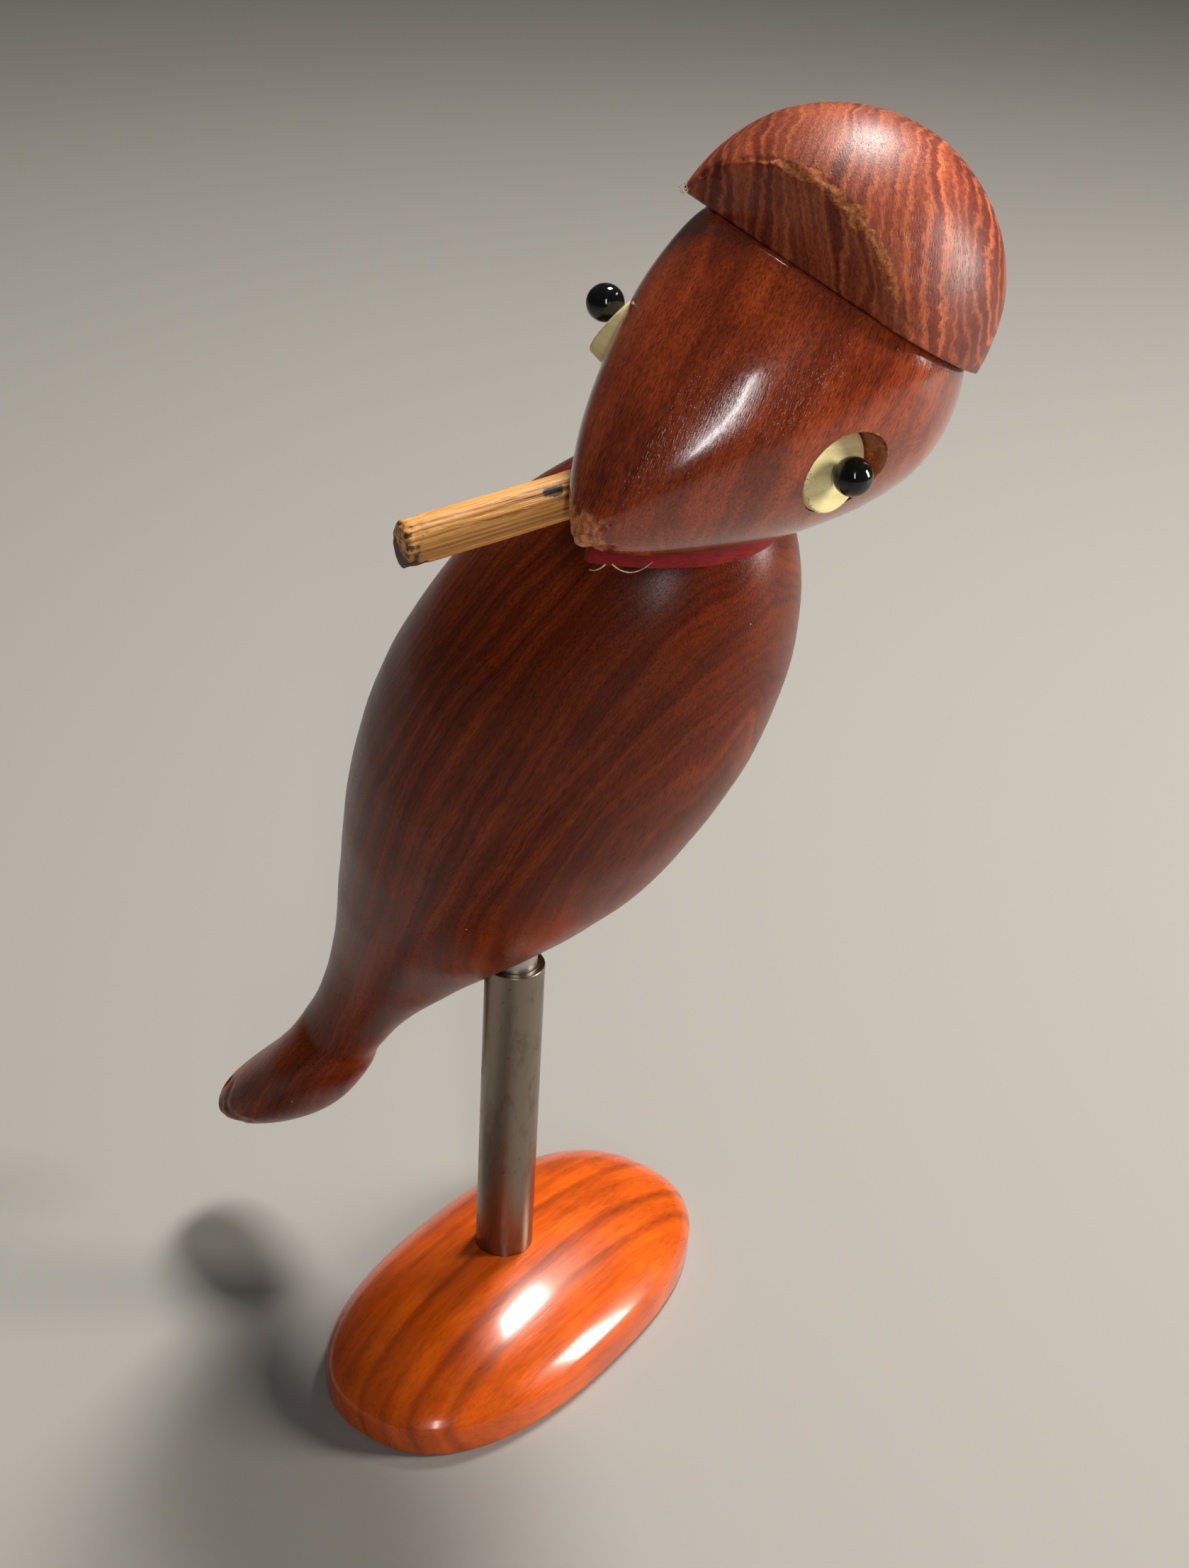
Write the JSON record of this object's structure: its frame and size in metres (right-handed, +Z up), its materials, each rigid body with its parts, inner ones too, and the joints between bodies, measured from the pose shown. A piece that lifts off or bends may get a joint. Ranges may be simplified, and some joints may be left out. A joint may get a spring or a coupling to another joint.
{
  "type": "desk bird figure",
  "caption": "Carved wooden bird with a round cap and a stick in its beak, leaning on a steel leg over an oval wooden base; body and head turn.",
  "frame": {"origin": "middle of the base's flat underside, at the level of the table", "axes": "+Z up along the steel leg, Y along the base's long axis with its front at -Y, X across the base"},
  "size_m": [0.0973, 0.0693, 0.1755],
  "materials": {
    "base_wood": "glossy oiled orange-brown wood with dark straight streaks",
    "steel_tube": "smooth drawn steel",
    "steel_rod": "plain bright steel",
    "body_wood": "satin dark red-brown wood with fine straight grain",
    "peg_wood": "plain pale dowel",
    "head_wood": "polished red-brown wood, worn at the beak",
    "mouth_red": "matt crimson painted wood",
    "cap_wood": "satin red-brown wood with wavy orange grain",
    "eye_wood": "pale cream wood, smooth end grain",
    "pin_steel": "plain wire",
    "bead_black": "glossy black bead",
    "stick_wood": "honey-coloured split wood, charred at the outer end"
  },
  "bodies": {
    "stand": {"foot_base": "base_wood", "leg_tube": "steel_tube"},
    "torso": {"body_spindle": "steel_rod", "bird_body": "body_wood", "neck_peg": "peg_wood"},
    "head": {"bird_head": "head_wood", "mouth_plate": "mouth_red", "round_cap": "cap_wood", "cap_peg": "peg_wood", "left_eye": "eye_wood", "right_eye": "eye_wood", "left_pupil_pin": "pin_steel", "right_pupil_pin": "pin_steel", "left_pupil_bead": "bead_black", "right_pupil_bead": "bead_black", "mouth_stick": "stick_wood"}
  },
  "joints": [
    {"name": "body_swivel", "type": "hinge", "parent": "stand", "child": "torso", "pos_m": [-0.002, -0.0005, 0.0593], "axis": [0, 0, 1], "continuous": true},
    {"name": "head_swivel", "type": "hinge", "parent": "torso", "child": "head", "pos_m": [0.02801, 0.00372, 0.1501], "axis": [0.2978, 0.0419, 0.9537], "continuous": true}
  ]
}
